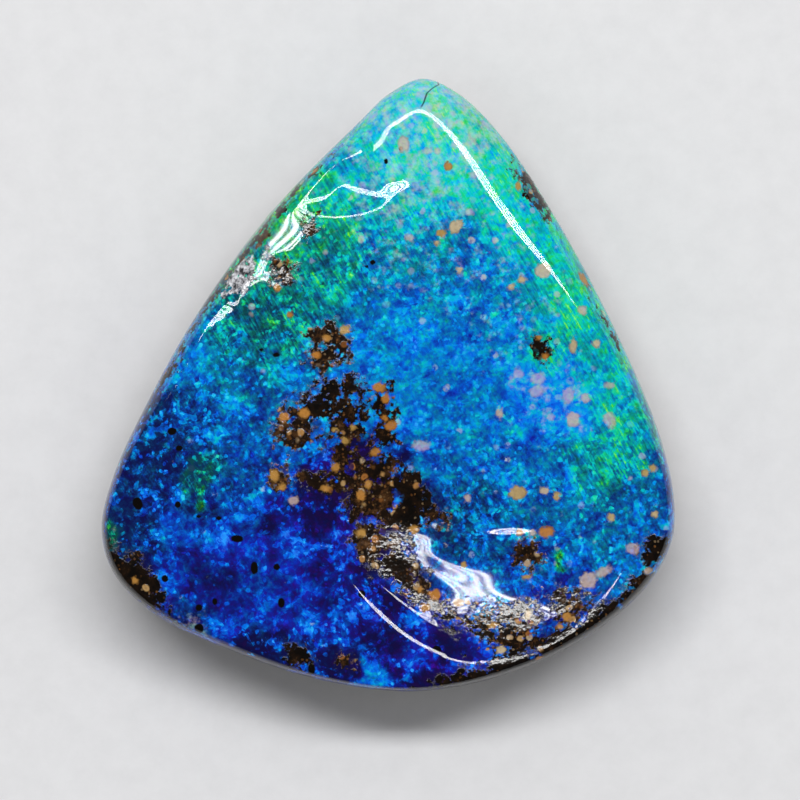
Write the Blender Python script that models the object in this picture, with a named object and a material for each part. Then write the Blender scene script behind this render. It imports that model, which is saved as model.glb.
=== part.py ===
"""A polished boulder opal: one freeform stone, lying on its flat ground back.

The face is a rounded triangle with a soft dome. A wide hollow lies low on the
right, a shallow ledge high on the left, and a rough chip breaks the upper left
rim. Below the girdle the ironstone draws in to the smaller flat back.
The origin is at the middle of the back, +Y points at the apex and +Z up.
"""
import math

import bmesh
import bpy
import numpy as np

MM = 0.001

# The girdle seen from above, anticlockwise from the right (millimetres).
GIRDLE_POINTS = (
    (10.25, -4.0), (9.7, -1.7), (8.3, 1.65), (6.15, 5.75), (4.0, 9.0), (2.5, 10.45),
    (1.25, 10.97), (0.0, 10.4), (-1.0, 9.45), (-3.85, 6.55), (-6.7, 2.75), (-8.6, -0.6),
    (-9.85, -3.3), (-10.27, -5.2), (-9.85, -6.75), (-8.5, -8.15), (-6.0, -9.4),
    (-2.4, -10.6), (1.15, -11.0), (4.7, -10.25), (7.6, -8.75), (9.4, -7.1), (10.2, -5.55),
)
GIRDLE_HEIGHT = 2.75      # the widest level, above the back
GIRDLE_FALL = 0.025       # the girdle sinks by this for each millimetre towards the apex
SHOULDER_WIDTH = 1.2      # the rounded rim of the face, seen from above
SHOULDER_RISE = 1.35
SHOULDER_CURVE = 2.2      # 2 would be an elliptical rim
# The rim is narrower or wider in places: direction in degrees, spread, share of the width.
SHOULDER_CHANGES = (
    (60, 0.36, 0.72), (112, 0.4, -0.46), (160, 0.25, -0.4), (200, 0.5, -0.5), (-160, 0.5, -0.5),
    (-90, 1.0, -0.8), (-20, 0.5, -0.45),
)
DOME_RISE = 0.62          # from the rim's top to the middle of the face
DOME_CURVE = 2.2
BACK_INSET = 1.9          # how far the flat back lies inside the girdle
BACK_INSET_WAVES = ((2, 1.0, 0.25), (5, 0.3, 0.14))    # count, phase, share of the inset
BELLY_CURVE = 1.8         # the side leaves the girdle upright and slants in to the back
SIDE_LUMPS = ((3, 0.7, 0.13), (5, 2.1, 0.08), (8, 4.0, 0.05))   # count, phase, height

# Basins in the face, each with a crisp edge. Middle x and y, half length, half width,
# turn in degrees, depth, softness of the edge, and the half width on the far side.
BOWL = dict(middle=(2.75, -5.1), half=(5.9, 4.4), turn=-38, depth=1.4, edge=0.08, far=8.2)
LEDGE = dict(middle=(-1.75, 7.05), half=(2.2, 1.0), turn=2, depth=0.22, edge=0.06)
# Soft hollows, with the steepness of their banks.
CHIP = dict(middle=(-6.0, 3.95), half=(1.6, 0.75), turn=60, depth=0.3, steep=3)
PIT = dict(middle=(-3.95, 4.2), half=(0.5, 0.4), turn=70, depth=0.08, steep=3)

GRID = 40                 # quads along each side of the face's net
GRID_CROWD = 1.5          # above 1 crowds the net towards the rim
GRID_TURN = math.radians(45)      # puts one corner of the net at the apex
SIDE_RINGS = 6
CURVE_STEPS = 40          # points read from the girdle's curve between two given points
SUPPORT_BLUR = 12         # smooths the distance law along the girdle, in curve steps

OPAL_BLUE = (0.02, 0.16, 0.42, 1.0)
OPAL_ROUGHNESS = 0.08


def girdle_curve():
    """Closed centripetal curve through the girdle's points."""
    points = np.array(GIRDLE_POINTS)
    before, after, beyond = (np.roll(points, -k, axis=0) for k in (-1, 1, 2))

    def gap(a, b):
        return np.linalg.norm(b - a, axis=1)[:, None] ** 0.5

    d1, d2, d3 = gap(before, points), gap(points, after), gap(after, beyond)
    out = d2 * ((points - before) / d1 - (after - before) / (d1 + d2) + (after - points) / d2)
    back = d2 * ((after - points) / d2 - (beyond - points) / (d2 + d3) + (beyond - after) / d3)
    rows = []
    for t in np.arange(CURVE_STEPS) / CURVE_STEPS:
        rows.append((2 * t**3 - 3 * t**2 + 1) * points + (t**3 - 2 * t**2 + t) * out
                    + (3 * t**2 - 2 * t**3) * after + (t**3 - t**2) * back)
    curve = np.stack(rows, axis=1).reshape(-1, 2)
    return curve - (curve.min(axis=0) + curve.max(axis=0)) / 2


class Girdle:
    """Radius of the girdle, and reach of its tangent, by direction from the middle."""

    def __init__(self):
        curve = girdle_curve()
        tangent = np.roll(curve, -1, axis=0) - np.roll(curve, 1, axis=0)
        tangent /= np.linalg.norm(tangent, axis=1)[:, None]
        reach = curve[:, 0] * tangent[:, 1] - curve[:, 1] * tangent[:, 0]
        window = np.hanning(2 * SUPPORT_BLUR + 1)
        padded = np.concatenate((reach[-SUPPORT_BLUR:], reach, reach[:SUPPORT_BLUR]))
        self.reach_values = np.convolve(padded, window / window.sum(), mode="valid")
        self.radius_values = np.linalg.norm(curve, axis=1)
        self.angles = np.unwrap(np.arctan2(curve[:, 1], curve[:, 0]))

    def read(self, values, angle):
        turn = (angle - self.angles[0]) % (2 * math.pi)
        known = np.append(self.angles - self.angles[0], 2 * math.pi)
        return np.interp(turn, known, np.append(values, values[0]))

    def radius(self, angle):
        return self.read(self.radius_values, angle)

    def reach(self, angle):
        return self.read(self.reach_values, angle)


def turned(x, y, middle, turn):
    """A place seen from a middle, along and across a direction given in degrees."""
    c, s = math.cos(math.radians(turn)), math.sin(math.radians(turn))
    dx, dy = x - middle[0], y - middle[1]
    return dx * c + dy * s, dy * c - dx * s


def hollow(x, y, middle, half, turn, depth, steep):
    """Depth of one soft hollow at a place on the face."""
    along, across = turned(x, y, middle, turn)
    return depth * math.exp(-math.hypot(along / half[0], across / half[1]) ** steep)


def basin(x, y, middle, half, turn, depth, edge, far=None):
    """Depth of one basin with a crisp edge. It may reach further on its far side."""
    along, across = turned(x, y, middle, turn)
    across = across / (far if far and across > 0 else half[1])
    inside = 1 - (along / half[0]) ** 2 - across ** 2
    return depth * np.logaddexp(0, inside / edge) / np.logaddexp(0, 1 / edge)


def girdle_level(y):
    return GIRDLE_HEIGHT - GIRDLE_FALL * y


def face_height(girdle, x, y):
    """Height of the polished face above the flat back."""
    angle = math.atan2(y, x)
    share = min(math.hypot(x, y) / girdle.radius(angle), 1.0)
    to_rim = (1 - share) * girdle.reach(angle)
    change = sum(share_of_width * math.exp(-((angle - math.radians(side)) / spread) ** 2)
                 for side, spread, share_of_width in SHOULDER_CHANGES)
    left = 1 - min(to_rim / (SHOULDER_WIDTH * (1 + change)), 1.0)
    height = girdle_level(y)
    height += SHOULDER_RISE * math.sqrt(1 - left ** SHOULDER_CURVE)
    height += DOME_RISE * (1 - share ** DOME_CURVE)
    forms = basin(x, y, **BOWL) + basin(x, y, **LEDGE)
    forms += hollow(x, y, **CHIP) + hollow(x, y, **PIT)
    return height - min(to_rim / SHOULDER_WIDTH, 1.0) * forms


def place_on_disc(u, v):
    """A point of the square net, -1 to 1 each way, as a share of the radius and a direction."""
    x, y = u * math.sqrt(1 - v * v / 2), v * math.sqrt(1 - u * u / 2)
    share = min(math.hypot(x, y), 1.0)
    return 1 - (1 - share) ** GRID_CROWD, math.atan2(y, x) + GRID_TURN


def waves(table, angle):
    return sum(size * math.sin(count * angle + phase) for count, phase, size in table)


def side_point(girdle, angle, down):
    """A point of the side: down is 0 at the girdle and 1 at the back."""
    inset = BACK_INSET * (1 + waves(BACK_INSET_WAVES, angle)) * down ** BELLY_CURVE
    inset -= waves(SIDE_LUMPS, angle) * math.sin(math.pi * down)
    radius = girdle.radius(angle) * (1 - inset / girdle.reach(angle))
    rim_y = girdle.radius(angle) * math.sin(angle)
    return (radius * math.cos(angle), radius * math.sin(angle), girdle_level(rim_y) * (1 - down))


def shape_face(bm, girdle):
    """The square net becomes the face, and its edge lies on the girdle."""
    for vert in bm.verts:
        share, angle = place_on_disc(vert.co.x, vert.co.y)
        radius = girdle.radius(angle) * share
        x, y = radius * math.cos(angle), radius * math.sin(angle)
        vert.co = (x, y, face_height(girdle, x, y))


def add_side_and_back(bm, girdle):
    """Ring after ring is drawn down from the girdle. The last one is sharp and closed flat."""
    rim = [edge for edge in bm.edges if edge.is_boundary]
    for ring in range(1, SIDE_RINGS + 1):
        drawn = bmesh.ops.extrude_edge_only(bm, edges=rim)["geom"]
        rim = [item for item in drawn if isinstance(item, bmesh.types.BMEdge)]
        for vert in {vert for edge in rim for vert in edge.verts}:
            angle = math.atan2(vert.co.y, vert.co.x)
            vert.co = side_point(girdle, angle, ring / SIDE_RINGS)
    bmesh.ops.contextual_create(bm, geom=rim)
    for edge in rim:
        edge.smooth = False


def opal_material():
    material = bpy.data.materials.new("opal_on_ironstone")
    material.use_nodes = True
    shader = material.node_tree.nodes["Principled BSDF"]
    shader.inputs["Base Color"].default_value = OPAL_BLUE
    shader.inputs["Roughness"].default_value = OPAL_ROUGHNESS
    shader.inputs["Metallic"].default_value = 0.0
    return material


def boulder_opal():
    girdle = Girdle()
    bm = bmesh.new()
    bmesh.ops.create_grid(bm, x_segments=GRID, y_segments=GRID, size=1.0)
    shape_face(bm, girdle)
    add_side_and_back(bm, girdle)
    bmesh.ops.scale(bm, vec=(MM, MM, MM), verts=bm.verts)
    bmesh.ops.triangulate(bm, faces=bm.faces)
    bmesh.ops.recalc_face_normals(bm, faces=bm.faces)
    for face in bm.faces:
        face.smooth = True
    mesh = bpy.data.meshes.new("boulder_opal")
    bm.to_mesh(mesh)
    bm.free()
    mesh.materials.append(opal_material())
    stone = bpy.data.objects.new("boulder_opal", mesh)
    bpy.context.scene.collection.objects.link(stone)
    return stone


for old in list(bpy.data.objects):
    bpy.data.objects.remove(old)
boulder_opal()
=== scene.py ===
"""A polished boulder opal on a pale floor, seen from straight above."""
import math

import bmesh
import bpy
import numpy as np
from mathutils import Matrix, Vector, noise


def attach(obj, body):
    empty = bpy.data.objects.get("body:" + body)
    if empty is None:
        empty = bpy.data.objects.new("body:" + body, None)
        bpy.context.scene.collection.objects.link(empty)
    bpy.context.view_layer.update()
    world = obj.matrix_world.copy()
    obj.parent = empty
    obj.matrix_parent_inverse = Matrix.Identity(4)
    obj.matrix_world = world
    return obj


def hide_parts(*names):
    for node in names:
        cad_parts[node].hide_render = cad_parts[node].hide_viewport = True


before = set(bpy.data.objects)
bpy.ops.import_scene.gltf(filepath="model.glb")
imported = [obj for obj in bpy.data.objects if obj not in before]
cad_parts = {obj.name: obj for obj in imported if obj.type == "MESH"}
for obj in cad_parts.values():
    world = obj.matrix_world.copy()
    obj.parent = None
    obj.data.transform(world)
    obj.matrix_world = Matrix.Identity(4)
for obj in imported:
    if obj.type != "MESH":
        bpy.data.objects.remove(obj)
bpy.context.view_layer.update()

MM = 0.001
STONE_NODE = "boulder_opal"

# The form. These are the stone's own dimensions, in millimetres.
GIRDLE_POINTS = (
    (10.25, -4.0), (9.7, -1.7), (8.3, 1.65), (6.15, 5.75), (4.0, 9.0), (2.5, 10.45),
    (1.25, 10.97), (0.0, 10.4), (-1.0, 9.45), (-3.85, 6.55), (-6.7, 2.75), (-8.6, -0.6),
    (-9.85, -3.3), (-10.27, -5.2), (-9.85, -6.75), (-8.5, -8.15), (-6.0, -9.4),
    (-2.4, -10.6), (1.15, -11.0), (4.7, -10.25), (7.6, -8.75), (9.4, -7.1), (10.2, -5.55),
)
GIRDLE_HEIGHT = 2.75      # the widest level, above the back
GIRDLE_FALL = 0.025       # the girdle sinks by this for each millimetre towards the apex
SHOULDER_WIDTH = 1.2      # the rounded rim of the face, seen from above
SHOULDER_RISE = 1.35
SHOULDER_CURVE = 2.2      # 2 would be an elliptical rim
# The shoulder is narrower or wider in places: direction in degrees, spread in
# radians, share of the width.
SHOULDER_CHANGES = (
    (60, 0.36, 0.72), (112, 0.4, -0.46), (160, 0.25, -0.4), (200, 0.5, -0.5), (-160, 0.5, -0.5),
    (-90, 1.0, -0.8), (-20, 0.5, -0.45),
)
DOME_RISE = 0.62          # from the rim's top to the middle of the face
DOME_CURVE = 2.2
BACK_INSET = 1.9          # how far the flat back lies inside the girdle
BACK_INSET_WAVES = ((2, 1.0, 0.25), (5, 0.3, 0.14))    # count, phase, share of the inset
BELLY_CURVE = 1.8         # the side leaves the girdle upright and slants in to the back
SIDE_LUMPS = ((3, 0.7, 0.13), (5, 2.1, 0.08), (8, 4.0, 0.05))   # count, phase, height

# Hollows of the face. The half sizes lie along and across the turn, which is in degrees.
# The bowl and the ledge have a crisp edge, and the bowl reaches further on its far side.
BOWL = dict(middle=(2.75, -5.1), half=(5.9, 4.4), turn=-38, depth=1.4, edge=0.08, far=8.2)
LEDGE = dict(middle=(-1.75, 7.05), half=(2.2, 1.0), turn=2, depth=0.22, edge=0.06)
CHIP = dict(middle=(-6.0, 3.95), half=(1.6, 0.75), turn=60, depth=0.3, steep=3)
PIT = dict(middle=(-3.95, 4.2), half=(0.5, 0.4), turn=70, depth=0.08, steep=3)

# Slight unevenness that the polishing left. A negative depth is a swelling.
FINE_FORMS = (
    dict(middle=(0.24, 6.88), half=(0.8, 0.43), turn=-15, depth=-0.05, steep=2),
    dict(middle=(4.2, -6.05), half=(2.0, 0.7), turn=8, depth=0.06, steep=2),
    dict(middle=(-0.5, 8.5), half=(0.3, 1.0), turn=0, depth=-0.14, steep=2),
    dict(middle=(0.75, -8.05), half=(2.6, 0.22), turn=-38, depth=0.045, steep=2),
    dict(middle=(-1.8, 7.3), half=(0.5, 0.43), turn=0, depth=0.07, steep=2),
    dict(middle=(4.2, -5.6), half=(2.2, 0.45), turn=2, depth=-0.14, steep=2),
    dict(middle=(1.1, -6.45), half=(1.6, 0.8), turn=-36, depth=-0.17, steep=2),
)

# A slight facet on the shoulder: middle, direction that it faces in degrees, slope,
# how far it cuts in, bend per millimetre and reach along the shoulder.
FACETS = ((-3.9, 5.3, 137, 0.31, 0.08, 0.08, 1.8),)
FACET_WIDTH = 1.4         # reach across the shoulder
FACET_EDGE = 0.005        # softness of its border
RIPPLE_SIZE = 1.9         # across one swell of the polish
RIPPLE_HEIGHT = 0.012
RIPPLE_FADE = 8.0         # it dies out in the last eighth before the rim
BREAK_SIZE = 0.28         # grain of the broken surface in the chip
BREAK_HEIGHT = 0.09

# Where the polish is duller, in the bowl. Its depth is how much duller.
WORN = dict(middle=(1.7, -6.5), half=(3.0, 1.5), turn=-35, depth=0.45, steep=4)

GRID = 256                # quads along each side of the face's net
GRID_CROWD = 1.2          # above 1 crowds the net towards the rim
GRID_TURN = math.radians(45)      # puts one corner of the net at the apex
FIT = 0.998               # keeps the fine mesh inside the coarser CAD solid
SIDE_RINGS = 22
BACK_EDGE_ROUNDING = 0.14     # the worn edge of the back
BACK_EDGE_STEPS = 3
BACK_MARGIN = 0.12        # a narrow band of faces just inside that edge
SIDE_GRAIN_SIZE = 0.9     # small unevenness of the side
SIDE_GRAIN_HEIGHT = 0.05
SIDE_GRAIN_RADIUS = 9     # the round path that it is read along
CURVE_STEPS = 40          # points read from the girdle's curve between two given points
SUPPORT_BLUR = 12         # smooths the distance law along the girdle, in curve steps
SHARP_ANGLE = math.radians(35)
LEVEL_TOLERANCE = 0.001   # what still counts as lying on the back

# Where the ironstone shows in the face: middle, half sizes, turn in degrees, and
# how tan it is, from -1 for black to 1 for sandy. Above 2 it is frosted white: partly the broken stone's
# own dull grey, partly a painted sheen.
ROCK_PATCHES = (
    (-2.15, 1.35, 0.8, 0.75, 0, 0.05), (-1.91, 0.98, 0.14, 0.39, 0, -0.5),
    (-2.45, -0.8, 0.7, 0.5, 20, -0.9), (-1.66, -0.16, 0.79, 0.32, 0, -0.9),
    (-3.32, -1.55, 0.61, 0.82, 0, 0.3), (-1.55, -1.27, 0.71, 0.86, 0, 0.0),
    (-1.55, -2.41, 0.57, 0.5, 0, 0.2), (-0.15, -0.91, 0.96, 0.38, -77, -0.1),
    (-0.19, -1.98, 0.5, 0.29, 40, -0.1), (-1.19, -3.34, 1.0, 0.71, -20, 0.2),
    (-0.12, -4.12, 0.93, 0.86, -45, 0.3), (0.84, -4.37, 0.57, 0.75, 0, -1.0),
    (-3.8, -3.34, 0.46, 0.39, 0, 0.7), (-2.87, -3.27, 0.36, 0.21, 0, -0.2),
    (-0.37, -5.73, 1.07, 0.79, -45, 0.3), (0.7, -6.87, 0.79, 0.61, -40, 0.0),
    (1.63, -4.73, 0.36, 0.29, 0, 0.3), (4.13, -8.62, 1.21, 0.82, -10, -0.1),
    (6.49, -7.77, 0.75, 0.43, -10, 0.2), (6.34, -8.41, 0.29, 0.29, 0, 0.5),
    (5.45, 1.31, 0.36, 0.43, 0, -0.5), (4.99, -6.02, 0.46, 0.5, 0, 0.3),
    (9.52, -5.91, 0.5, 0.43, 0, -0.8), (2.92, -10.73, 1.07, 0.29, 5, -0.9),
    (4.7, -10.19, 1.07, 0.32, 17, -0.9), (6.31, -9.44, 1.07, 0.32, 25, -0.9),
    (7.92, -8.37, 0.93, 0.36, 38, -0.9), (9.06, -7.34, 0.57, 0.29, 50, -0.7),
    (-9.05, -7.1, 1.25, 0.75, -42, -0.7), (-8.51, -7.8, 0.36, 0.14, -35, -0.9),
    (-9.8, -6.12, 0.5, 0.21, -65, -0.4), (-7.83, 0.7, 0.54, 0.14, 57, -0.8),
    (-3.51, 6.88, 0.86, 0.14, 50, -0.8), (-5.35, 3.9, 0.75, 0.46, 50, 4.2),
    (-3.76, 3.95, 0.43, 0.46, 0, -0.1), (-2.76, 5.66, 0.29, 0.25, 0, 0.2),
    (-4.48, 5.16, 0.32, 0.21, 50, 0.4), (5.25, 7.0, 0.85, 0.42, -58, -0.3),
    (8.02, 2.13, 0.36, 0.11, -62, -0.9), (-3.12, -9.64, 0.43, 0.32, 0, -0.7),
    (-1.44, -9.84, 0.32, 0.29, 0, 0.0), (-1.44, -1.09, 0.64, 0.57, 0, -0.2),
    (-0.12, -1.84, 0.43, 0.43, 0, -0.2), (-0.37, -3.05, 0.79, 0.64, 40, -0.2),
    (0.42, -3.77, 0.57, 0.79, -30, -0.6), (0.59, -4.66, 0.86, 0.71, 0, -0.9),
    (-0.83, -4.12, 0.79, 0.57, 0, 0.2), (-0.12, -5.37, 0.93, 0.50, 0, 0.3),
    (-1.55, -3.41, 0.50, 0.43, 0, 0.1), (-2.37, -3.41, 0.43, 0.43, 0, 0.1),
    (0.24, -6.44, 0.79, 0.64, -30, -0.7), (0.95, -7.34, 0.50, 0.36, -40, 0.1),
    (1.84, -7.98, 0.79, 0.29, -40, -0.1), (3.99, -8.59, 1.21, 0.79, -10, -0.2),
    (4.99, -8.05, 0.43, 0.50, 0, 0.0), (4.88, -9.30, 0.93, 0.32, 10, -0.3),
    (6.42, -7.87, 0.71, 0.57, -20, 0.1), (7.20, -8.59, 0.57, 0.29, 40, -0.8),
    (2.92, -10.75, 1.3, 0.62, 8, -0.9), (4.70, -10.2, 1.2, 0.78, 18, -0.9),
    (6.31, -9.5, 1.1, 0.8, 27, -0.9), (7.74, -8.6, 1.0, 0.8, 38, -0.9),
    (8.95, -7.5, 0.9, 0.55, 52, -0.8), (-4.51, 5.45, 0.21, 0.25, 0, 2.2),
    (-4.44, 4.84, 0.18, 0.25, 0, 2.4), (-2.80, 5.88, 0.32, 0.25, 0, 0.6),
    (-4.94, 5.16, 0.93, 0.14, 52, -0.9), (-6.19, 3.56, 1.07, 0.11, 55, -0.9),
)

# Small black inclusions: middle, half sizes, turn.
SPECKS = (
    (8.34, 1.34, 0.21, 0.11, -65), (-2.73, -10.12, 0.14, 0.25, 0), (-6.74, -8.68, 0.16, 0.18, 0),
    (-7.69, -1.66, 0.18, 0.14, 0), (-7.44, -2.27, 0.14, 0.11, 0), (-5.38, -5.48, 0.25, 0.14, 0),
    (-6.01, -4.75, 0.11, 0.09, 0), (-6.74, -4.69, 0.11, 0.09, 0), (-8.91, -4.23, 0.18, 0.25, 20),
    (-7.48, -4.27, 0.11, 0.12, 0), (-4.76, -6.52, 0.14, 0.25, 0), (-3.96, -6.48, 0.14, 0.14, 0),
    (-3.8, -7.76, 0.14, 0.21, 0), (-6.73, -7.94, 0.14, 0.14, 0), (-6.17, -7.73, 0.11, 0.14, 0),
    (-7.94, -6.91, 0.14, 0.14, 0), (-0.55, 4.34, 0.11, 0.09, 0), (-0.76, 4.2, 0.09, 0.07, 0),
    (-3.98, 1.06, 0.14, 0.09, 0), (-4.51, 1.23, 0.09, 0.07, 0), (0.45, 8.41, 0.09, 0.09, 0),
    (-0.08, 7.95, 0.09, 0.11, 0), (-0.94, -7.44, 0.14, 0.14, 0), (1.74, -9.41, 0.18, 0.14, 0),
)

# Single ironstone grains: middle, half sizes, turn, and tone, from 0 for orange
# through tan to 1 for pale pink.
GRAINS = (
    (4.61, -3.86, 0.32, 0.25, 0, 0.4), (4.7, -5.27, 0.14, 0.14, 0, 0.1),
    (5.13, -5.27, 0.14, 0.14, 0, 0.7), (5.63, -5.27, 0.29, 0.2, 0, 0.0),
    (1.67, -7.48, 0.25, 0.21, 0, 0.0), (1.31, -7.94, 0.18, 0.16, 0, 0.1),
    (2.51, -7.77, 0.18, 0.16, 0, 0.15), (2.83, -7.77, 0.12, 0.12, 0, 0.2),
    (1.13, -7.3, 0.11, 0.11, 0, 0.1), (0.11, -1.47, 0.25, 0.18, 25, 0.0),
    (-0.33, -0.09, 0.25, 0.2, 0, 0.05), (-0.08, -0.48, 0.18, 0.2, 0, 0.0),
    (-0.44, -2.39, 0.21, 0.14, 20, 0.05), (-0.12, -1.19, 0.16, 0.12, 0, 0.0),
    (-1.87, -2.94, 0.18, 0.16, -30, 0.1), (-2.23, -3.69, 0.18, 0.14, 0, 0.1),
    (-0.73, -3.57, 0.14, 0.18, 0, 0.1), (-0.98, -3.96, 0.18, 0.21, 0, 0.05),
    (-3.37, -4.12, 0.2, 0.18, 0, 0.75), (2.13, 7.77, 0.16, 0.16, 0, 0.1),
    (2.4, 5.63, 0.29, 0.21, 40, 0.55), (1.88, 5.38, 0.2, 0.16, 0, 0.25),
    (1.74, 5.06, 0.11, 0.11, 0, 0.5), (7.08, 3.82, 0.3, 0.18, -62, 0.1),
    (4.67, 7.09, 0.14, 0.2, 0, 0.3), (0.92, -5.19, 0.21, 0.16, 0, 0.15),
    (5.42, -9.82, 0.16, 0.14, 0, 0.0), (6.38, -8.27, 0.18, 0.18, 0, 0.1),
    (6.13, -8.62, 0.14, 0.11, 0, 0.1), (-0.94, -5.3, 0.21, 0.14, 0, 0.2),
    (-2.57, 1.06, 0.16, 0.14, 0, 0.0), (-3.94, 3.45, 0.14, 0.14, 0, 0.1),
    (-3.51, 2.48, 0.11, 0.11, 0, 0.0), (9.17, -3.16, 0.14, 0.14, 0, 0.4),
    (9.42, -2.98, 0.12, 0.14, 0, 0.4), (9.49, -4.62, 0.14, 0.12, 0, 0.5),
    (7.95, -4.73, 0.14, 0.18, 0, 0.45), (1.17, -2.19, 0.32, 0.2, 0, 0.85),
    (3.97, -1.02, 0.14, 0.23, 15, 0.65), (7.9, -1.27, 0.21, 0.32, 25, 0.8),
    (6.59, 1.38, 0.14, 0.27, 0, 0.55), (2.88, 6.13, 0.16, 0.14, 0, 0.95),
    (3.06, 7.47, 0.18, 0.14, 0, 0.95), (7.02, -0.48, 0.18, 0.18, 0, 0.75),
    (7.9, -0.02, 0.21, 0.14, 10, 0.8), (5.77, -1.16, 0.16, 0.14, 0, 0.95),
    (6.59, -1.23, 0.25, 0.29, 0, 0.7), (6.42, -0.37, 0.21, 0.32, 0, 0.85),
    (5.27, -0.23, 0.25, 0.21, 0, 0.9), (5.34, 0.23, 0.29, 0.21, 0, 0.95),
    (4.63, 0.38, 0.21, 0.18, 0, 0.95), (7.42, 1.48, 0.14, 0.16, 0, 0.6),
    (6.92, 2.63, 0.18, 0.16, 0, 0.7), (4.77, 3.73, 0.16, 0.12, 0, 0.5),
    (4.38, 3.48, 0.12, 0.11, 0, 0.55), (2.56, 4.09, 0.18, 0.11, 30, 0.6),
    (0.77, 5.23, 0.16, 0.14, 0, 0.8), (1.42, 8.31, 0.29, 0.11, 10, 0.85),
    (6.02, -3.98, 0.14, 0.18, 0, 0.4), (5.59, -3.8, 0.18, 0.16, 0, 0.6),
    (2.83, -4.05, 0.12, 0.18, 0, 0.7), (2.7, -6.44, 0.11, 0.14, 0, 0.3),
    (4.92, -6.87, 0.18, 0.09, 0, 0.3), (8.7, -5.84, 0.25, 0.21, 0, 0.85),
    (7.13, -6.98, 0.29, 0.32, -20, 0.7), (7.67, -6.66, 0.32, 0.16, 30, 0.75),
    (-9.01, -6.96, 0.12, 0.12, 0, 0.1), (9.27, -6.66, 0.18, 0.14, 0, 0.7),
    (4.02, -9.44, 0.18, 0.16, 0, 0.55), (3.74, -8.59, 0.18, 0.12, 0, 0.2),
    (4.99, -8.19, 0.18, 0.11, 70, 0.3), (5.52, 4.06, 0.29, 0.29, 0, 0.65),
    (-2.69, 7.77, 0.14, 0.11, 40, 0.1), (5.59, 0.98, 0.12, 0.14, 0, 0.0),
    (5.38, 1.66, 0.11, 0.11, 0, 0.1), (0.54, 8.56, 0.21, 0.29, 0, 0.7),
    (4.31, 5.7, 0.14, 0.14, 0, 0.85), (1.74, 8.31, 0.14, 0.11, 0, 0.8),
    (-2.98, -1.02, 0.21, 0.18, 0, 0.05), (-3.69, -1.16, 0.21, 0.18, 0, 0.02),
    (-4.05, -3.23, 0.18, 0.21, 0, 0.15), (-3.76, -3.66, 0.18, 0.12, 20, 0.15),
    (-1.55, -1.98, 0.18, 0.14, -30, 0.25), (-1.87, -1.62, 0.14, 0.12, 0, 0.3),
    (-1.26, -1.52, 0.14, 0.12, 0, 0.25), (-1.55, 1.95, 0.21, 0.18, 30, 0.3),
    (-2.16, 1.66, 0.18, 0.14, 0, 0.1),
)

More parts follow.
